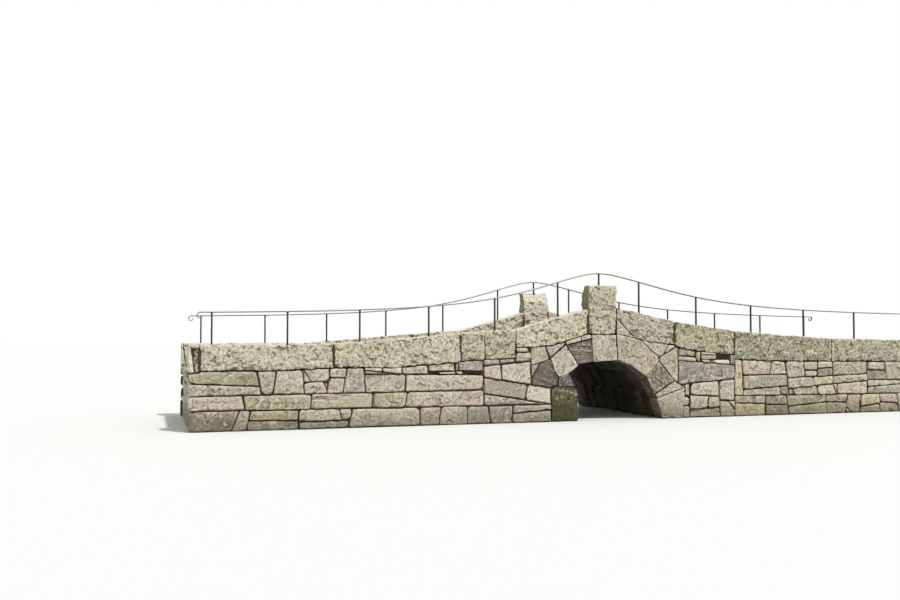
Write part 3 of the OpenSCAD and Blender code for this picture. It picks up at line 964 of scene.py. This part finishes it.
# From where to where, in X, the lines above lay out the rubble over its lowest course
LEFT_LAID = (-4.83, -0.9)
RIGHT_LAID = (0.3, 3.26)
LOWEST_COURSE = 0.20  # a face that reaches below this is never ready laid
LONGEST_LAID = 1.7  # nor is a longer one
CORNER_LOSS = 0.05  # the most that is knocked off a stone's corner
TALLEST, WIDEST = 0.38, 1.10  # about the largest stone where the rubble lays itself out
LOW_ENOUGH = 0.26  # a stone no taller than this is never split in its height
COURSE_TILT, END_TILT = 0.09, 0.22  # how far the joints over stones and between them may slant
CORNER_SHARE = 0.16  # of the larger stones: they make room for a small one at a corner
PLAIN_SHARE = 0.93  # of the rubble stones: the others are layered
SMALL_STONE = 0.10  # a smaller one has a pinning stone's finish
SLIVER = 0.0015  # a face of less than these square metres has no stone
RECESS = (0.004, 0.026)  # how far behind the wall's face the stones stand


def wall_face(names, across, outward):
    """One flat outline over the outer faces of CAD walls that meet edge to edge."""
    face = bmesh.new()
    for name in names:
        face.from_mesh(nodes[name].data)
    face.normal_update()
    edge = max(v.co[across] * outward for v in face.verts)
    hidden = [
        f for f in face.faces
        if f.normal[across] * outward < 0.99 or f.calc_center_median()[across] * outward < edge - 0.001
    ]
    bmesh.ops.delete(face, geom=hidden, context="FACES")
    bmesh.ops.remove_doubles(face, verts=face.verts, dist=0.001)
    bmesh.ops.dissolve_limit(face, angle_limit=0.003, verts=face.verts, edges=face.edges)
    return face


def on_wall(outline, across, along, height):
    """The point of a flat outline at a place along it and at a height."""
    point = Vector((along, along, height))
    point[across] = outline.faces[:][0].calc_center_median()[across]
    return point


def line_on_wall(across, along, height):
    """A direction on a flat outline."""
    direction = Vector((along, along, height))
    direction[across] = 0.0
    return direction


def cut(outline, face, point, direction, across):
    """Cuts one face of the outline along a line through a point."""
    normal = direction.cross(along_axis(across))
    split(outline, point, normal, [face, *face.edges, *face.verts], near=1e-4)


def face_at(outline, point):
    """The face of the outline that a point lies on."""
    for face in outline.faces:
        if bmesh.geometry.intersect_face_point(face, point):
            return face
    return None


def lay_rubble(outline, across, rng, is_laid):
    """Goes on cutting the faces with slightly tilted lines until each is a stone's size."""
    along = 1 - across
    waiting = list(outline.faces)
    while waiting:
        face = waiting.pop()
        if is_laid(face):
            continue
        left, right = reach_of(face, along)
        low, high = reach_of(face, 2)
        wide, tall = right - left, high - low
        middle = middle_of(face)
        tall_enough = TALLEST * (1 + 0.7 * noise.noise(middle * 1.3 + Vector((3, 1, 7))))
        wide_enough = WIDEST * (1 + 0.9 * noise.noise(middle * 1.7 + Vector((9, 4, 2))))
        if tall <= max(tall_enough, LOW_ENOUGH) and wide <= wide_enough:
            # Now and then a corner is a stone of its own
            if rng.random() < CORNER_SHARE and tall > 0.16 and wide > 0.3:
                corner = Vector(rng.choice(sorted(tuple(round(c, 5) for c in v.co) for v in face.verts)))
                inward = (middle - corner) * rng.uniform(0.35, 0.5)
                cut(outline, face, corner + inward, line_on_wall(across, -inward.z, inward[along]), across)
            continue
        point = middle.copy()
        if tall > LOW_ENOUGH and tall / tall_enough > wide / wide_enough:
            point.z = low + tall * rng.uniform(0.36, 0.64)
            direction = line_on_wall(across, 1.0, rng.uniform(-COURSE_TILT, COURSE_TILT))
        else:
            point[along] = left + wide * rng.uniform(0.32, 0.68)
            direction = line_on_wall(across, rng.uniform(-END_TILT, END_TILT), 1.0)
        known = set(outline.faces)
        cut(outline, face, point, direction, across)
        fresh = [f for f in outline.faces if f not in known]
        if fresh:
            waiting += [*fresh, face]


def wall_stone(face, inward, joint, recess, rng):
    """One stone behind a face of the wall: the outline drawn in by half a joint, given depth, and its
    corners knocked off."""
    stone = bmesh.new()
    front = stone.faces.new([stone.verts.new(v.co) for v in face.verts])
    stone.normal_update()
    bmesh.ops.inset_individual(stone, faces=[front], thickness=joint, use_even_offset=True)
    bmesh.ops.delete(stone, geom=[f for f in stone.faces if f is not front], context="FACES")
    bmesh.ops.translate(stone, verts=stone.verts, vec=inward * recess)
    back = bmesh.ops.extrude_face_region(stone, geom=[front])
    moved = [g for g in back["geom"] if isinstance(g, bmesh.types.BMVert)]
    bmesh.ops.translate(stone, verts=moved, vec=inward * STONE_IN)
    bmesh.ops.recalc_face_normals(stone, faces=stone.faces)
    corners = [e for e in stone.edges if abs((e.verts[0].co - e.verts[1].co).dot(inward)) > STONE_IN / 2]
    # An operator's edges come in another order in each run, so they are sorted by their place
    for corner in sorted(corners, key=lambda e: tuple(round(c, 3) for c in e.verts[0].co + e.verts[1].co)):
        bevel(stone, [corner], rng.uniform(0.1, 1.0) ** 2 * CORNER_LOSS)
    return stone


def build_rubble(name, outline, across, outward, stands_for, gaps=(), stones=()):
    """The stones behind every face of a laid-out wall, as one piece."""
    rng = random.Random(name)
    pile = Pile()
    inward = along_axis(across, -outward)
    open_faces = [face_at(outline, on_wall(outline, across, *spot)) for spot in gaps]
    known = {face_at(outline, on_wall(outline, across, x, z)): look for x, z, *look in stones}
    for face in outline.faces:
        size = min(b - a for a, b in (reach_of(face, 1 - across), reach_of(face, 2)))
        if face in open_faces or face.calc_area() < SLIVER:
            continue
        joint = min(rng.uniform(0.03, 0.11) ** 2, 0.1 * size)
        finish = RUBBLE if rng.random() < PLAIN_SHARE else STRATIFIED
        tint, finish = known.get(face, (rng.choice(RUBBLE_TINTS), finish))
        if size < SMALL_STONE:
            finish = PINNING
        solid = wall_stone(face, inward, joint, rng.uniform(*RECESS), rng)
        pile.stone(solid, finish, rng, tint, across=across, faces=("low",) if outward < 0 else ("high",))
    outline.free()
    pile.piece(name, rubble_stone, "rubble_masonry", *stands_for)


def backing(node, outward=0):
    """The rough hearting of a wall or fill: it fills a joint here and lies deep and dark there."""
    fine = even_mesh(welded(nodes[node].data), 0.06 if outward else 0.10)
    near, far = HEARTING_IN
    for vert in fine.verts:
        depth = near + (far - near) * min(max(0.5 + 1.3 * noise.noise(vert.co * 3.1), 0.0), 1.0)
        if vert.co.y * outward > FACE_Y - depth:
            vert.co.y = outward * (FACE_Y - depth)
        if abs(vert.co.x) > END_X - depth:
            vert.co.x = math.copysign(END_X - depth, vert.co.x)
        vert.co.z = max(vert.co.z, 0.0)
    place(f"{node}_hearting", fine, hearting, "rubble_fill", node)


def side_wall(side, end, outward, joints, gaps, stones, laid):
    """The rubble under one half of a parapet."""
    names = [f"{side}_{end}_spandrel", f"{side}_{end}_wing"]
    outline = wall_face(names, 1, outward)
    for x, z, to_x, to_z in joints:
        middle = on_wall(outline, 1, (x + to_x) / 2, (z + to_z) / 2)
        face = face_at(outline, middle)
        if face:
            cut(outline, face, middle, line_on_wall(1, to_x - x, to_z - z), 1)

    def is_laid(face):
        (left, right), low = reach_of(face, 0), reach_of(face, 2)[0]
        return laid[0] < (left + right) / 2 < laid[1] and right - left < LONGEST_LAID and low > LOWEST_COURSE

    lay_rubble(outline, 1, random.Random(f"{side}_{end}"), is_laid)
    build_rubble(f"{side}_{end}_rubble", outline, 1, outward, names, gaps, stones)
    for name in names:
        backing(name, outward)


def end_wall(end, outward):
    """The rubble across one end of the bridge, under the path."""
    fill = f"{end}_approach_fill"
    outline = wall_face([f"front_{end}_wing", fill, f"back_{end}_wing"], 0, outward)
    for y in (-FACE_Y + CORNER_IN, FACE_Y - CORNER_IN):
        split(outline, Vector((outward * END_X, y, 0)), Vector((0, y, 0)), clear_outer=True)
    lay_rubble(outline, 0, random.Random(end), lambda face: False)
    build_rubble(f"{end}_end_rubble", outline, 0, outward, [fill])
    backing(fill)


for side, outward in (("front", -1), ("back", 1)):
    side_wall(side, "left", outward, LEFT_JOINTS, LEFT_GAPS, LEFT_STONES, LEFT_LAID)
    side_wall(side, "right", outward, RIGHT_JOINTS, RIGHT_GAPS, RIGHT_STONES, RIGHT_LAID)
end_wall("left", -1)
end_wall("right", 1)
for node in ("left_haunch_fill", "right_haunch_fill"):
    nodes[node].data.materials.clear()
    nodes[node].data.materials.append(hearting)


# Packing in the upright joints

PARAPET_ROW = (
    "left_end_stone", "left_parapet", "left_sloping_block", "pillar",
    "right_sloping_blocks", "right_parapet", "right_end_stone",
)
PACKING_WIDE = 0.05
PACKING_IN = 0.05  # how far inside the stones' faces it stays
END_PACKING_Z = {-1: 1.28, 1: 1.33}  # its middle behind the joints of the end stones
END_PACKING = (0.10, FACE_Y - INNER_Y - 0.14, 0.36)  # its size there


def slab(slabs, middle, size):
    matrix = Matrix.Translation(middle) @ Matrix.Diagonal((*size, 1))
    bmesh.ops.create_cube(slabs, size=1.0, matrix=matrix)


def joint_packing(side, outward):
    """Dark packing set back in the upright joints between the parapet stones."""
    row = [stone for part in PARAPET_ROW for stone in loose_parts(nodes[f"{side}_{part}"].data)]
    y = outward * (FACE_Y + INNER_Y) / 2
    slabs = bmesh.new()
    for left, right in zip(row, row[1:]):
        x = (reach_of(left, 0)[1] + reach_of(right, 0)[0]) / 2
        beside = [[v.co.z for v in stone.verts if abs(v.co.x - x) < 0.05] for stone in (left, right)]
        low = max(min(heights) for heights in beside) + 0.02
        high = min(max(heights) for heights in beside) - 0.05
        size = (PACKING_WIDE, FACE_Y - INNER_Y - 2 * PACKING_IN, high - low)
        slab(slabs, Vector((x, y, (high + low) / 2)), size)
    for end, z in END_PACKING_Z.items():
        slab(slabs, Vector((end * (END_X - 0.07), y, z)), END_PACKING)
    for solid in row:
        solid.free()
    place(f"{side}_joint_packing", slabs, packing, "rubble_fill", smooth=False)


joint_packing("front", -1)
joint_packing("back", 1)


# Iron

LEAD = dict(radius1=0.040, radius2=0.022, depth=0.060)  # run in round a post's foot
LEAD_SINKS = 0.022  # how far below the foot its middle lies
COLLAR = dict(radius1=0.019, radius2=0.026, depth=0.022)  # forged under the rail
COLLAR_SINKS = 0.006  # and how far below the rail's underside
POST_SINKS = 0.06  # how far a post's foot is let into the stone
SHARP = 0.6  # radians: the bars' edges that bend by more are rounded


def forge(node, material, edge, sink=0.0):
    """A CAD node of iron bars with rounded edges, their feet let into the stone."""
    bars = bmesh.new()
    for bar in loose_parts(nodes[node].data):
        low = reach_of(bar, 2)[0]
        for vert in bar.verts:
            if vert.co.z < low + 0.03:
                vert.co.z -= sink
        gather(bars, mesh_of("bar", bar))
    bmesh.ops.dissolve_limit(bars, angle_limit=0.002, verts=bars.verts, edges=bars.edges)
    sharp = [e for e in bars.edges if len(e.link_faces) == 2 and e.calc_face_angle() > SHARP]
    bevel(bars, sharp, edge, segments=3)
    place(f"{node}_iron", bars, material, "handrail_iron", node)


def post_fittings(side):
    """The lead round each post's foot, and the collar under the rail."""
    fittings = bmesh.new()
    (rail,) = loose_parts(nodes[f"{side}_handrail"].data)
    underside = BVHTree.FromBMesh(rail)
    for post in loose_parts(nodes[f"{side}_posts"].data):
        foot = middle_of(post)
        foot.z = reach_of(post, 2)[0]
        head = underside.ray_cast(foot + Vector((0, 0, 0.1)), Vector((0, 0, 1)))[0]
        for spot, sunk, fitting in ((foot, LEAD_SINKS, LEAD), (head, COLLAR_SINKS, COLLAR)):
            matrix = Matrix.Translation(spot - Vector((0, 0, sunk)))
            bmesh.ops.create_cone(fittings, cap_ends=True, segments=20, matrix=matrix, **fitting)
        post.free()
    rail.free()
    place(f"{side}_post_fittings", fittings, post_iron, "handrail_iron", smooth=False)


for side in ("front", "back"):
    forge(f"{side}_handrail", rail_iron, 0.007)
    forge(f"{side}_posts", post_iron, 0.004, sink=POST_SINKS)
    post_fittings(side)


# Path

PATH_STEP = 0.06 * COARSE  # distance between the points of its surface
TRODDEN_Y = 1.1  # how far from its middle it is trodden down
TRODDEN = 0.014  # how deep
LOOSE = 0.012  # how much less at its loose edges
UNEVEN, GRAINY = 0.010, 0.002  # height of its wide and of its small unevenness
PEBBLES = 900  # tried: most of those in its middle are left out
PEBBLE = (0.006, 0.016)  # from the least radius to the largest


def gravel_path():
    """The path's surface with its ruts and loose edges."""
    path = welded(nodes["path_surface"].data)
    bmesh.ops.dissolve_limit(path, angle_limit=0.0005, verts=path.verts, edges=path.edges)
    path.normal_update()
    for axis, reach in ((0, END_X), (1, INNER_Y)):
        count = round(2 * reach / PATH_STEP)
        for index in range(1, count):
            point = along_axis(axis, -reach + 2 * reach * index / count)
            top = [f for f in path.faces if f.normal.z > 0.5]
            geom = dict.fromkeys(part for f in top for part in (f, *f.edges, *f.verts))
            split(path, point, along_axis(axis), list(geom))
    path.normal_update()
    inside = []
    for vert in path.verts:
        if all(f.normal.z > 0.5 for f in vert.link_faces):
            edge = max(0.0, abs(vert.co.y) - TRODDEN_Y) / (INNER_Y - TRODDEN_Y)
            lift = UNEVEN * noise.fractal(vert.co * 1.6, 1.0, 2.0, 4) + GRAINY * noise.noise(vert.co * 31)
            vert.co.z += lift - TRODDEN + LOOSE * edge
            inside.append(vert.co.copy())
    place("gravel_path", path, gravel, "path_gravel", "path_surface")
    return inside


def scatter_pebbles(places):
    """Pebbles on the path, most of them along its edges."""
    rng = random.Random("pebbles")
    pebbles = bmesh.new()
    for _ in range(PEBBLES):
        spot = rng.choice(places)
        if rng.random() > 0.25 + 0.75 * abs(spot.y) / INNER_Y:
            continue
        size = rng.uniform(*PEBBLE)
        turn = Matrix.Rotation(rng.uniform(0, 6.3), 4, "Z")
        shape = Matrix.Diagonal((size * rng.uniform(0.9, 1.5), size, size * rng.uniform(0.5, 0.8), 1))
        spot = spot + Vector((rng.uniform(-0.03, 0.03), rng.uniform(-0.03, 0.03), 0.001))
        matrix = Matrix.Translation(spot) @ turn @ shape
        bmesh.ops.create_icosphere(pebbles, subdivisions=1, radius=1.0, matrix=matrix)
    place("path_pebbles", pebbles, gravel, "path_gravel")


scatter_pebbles(gravel_path())


# Light, floor and camera

SUN_FROM = Vector((3.0, -4.5, 10.0))
EYE = (-8.68, -18.91, 1.69)  # the camera of the photo, fitted to both handrails
RAISED, TURNED = 2.12, -17.83  # in degrees, from level and from straight across the bridge
LENS = 38.0  # mm, for a picture 36 mm wide
FLOOR = 150.0  # from its middle to its edge


def sun(strength, angle):
    data = bpy.data.lights.new("sun", "SUN")
    data.energy = strength
    data.angle = math.radians(angle)
    in_scene("sun", data).rotation_euler = (-SUN_FROM).to_track_quat("-Z", "Y").to_euler()


def floor():
    ground = bmesh.new()
    bmesh.ops.create_grid(ground, x_segments=1, y_segments=1, size=FLOOR)
    mesh = mesh_of("floor", ground)
    material, _, shader = new_material("pale_floor")
    shader.inputs["Base Color"].default_value = colour(232, 232, 230)
    shader.inputs["Roughness"].default_value = 0.9
    mesh.materials.append(material)
    made = in_scene("floor", mesh)
    made.location.z = -0.001


def sky(strength):
    """An even sky that is plain white where it is seen."""
    world = bpy.data.worlds.new("studio")
    bpy.context.scene.world = world
    world.use_nodes = True
    net = Net(world.node_tree)
    ray = net.node("ShaderNodeLightPath").outputs
    seen = net.maths("MAXIMUM", ray["Is Camera Ray"], ray["Is Glossy Ray"])
    seen = net.maths("MAXIMUM", seen, ray["Is Transmission Ray"])
    back = world.node_tree.nodes["Background"]
    back.inputs["Color"].default_value = (1, 1, 1, 1)
    net.feed(back.inputs["Strength"], net.spread(seen, 0.0, 1.0, strength, 1.0))


sky(0.50)
floor()
sun(2.5, 4)

camera_data = bpy.data.cameras.new("camera")
camera_data.lens = LENS
camera_data.sensor_width = 36.0
camera_data.clip_end = 400.0
camera = in_scene("camera", camera_data)
camera.location = EYE
camera.rotation_euler = (math.radians(90 + RAISED), 0, math.radians(TURNED))
bpy.context.scene.camera = camera
bpy.context.scene.view_settings.view_transform = "Standard"
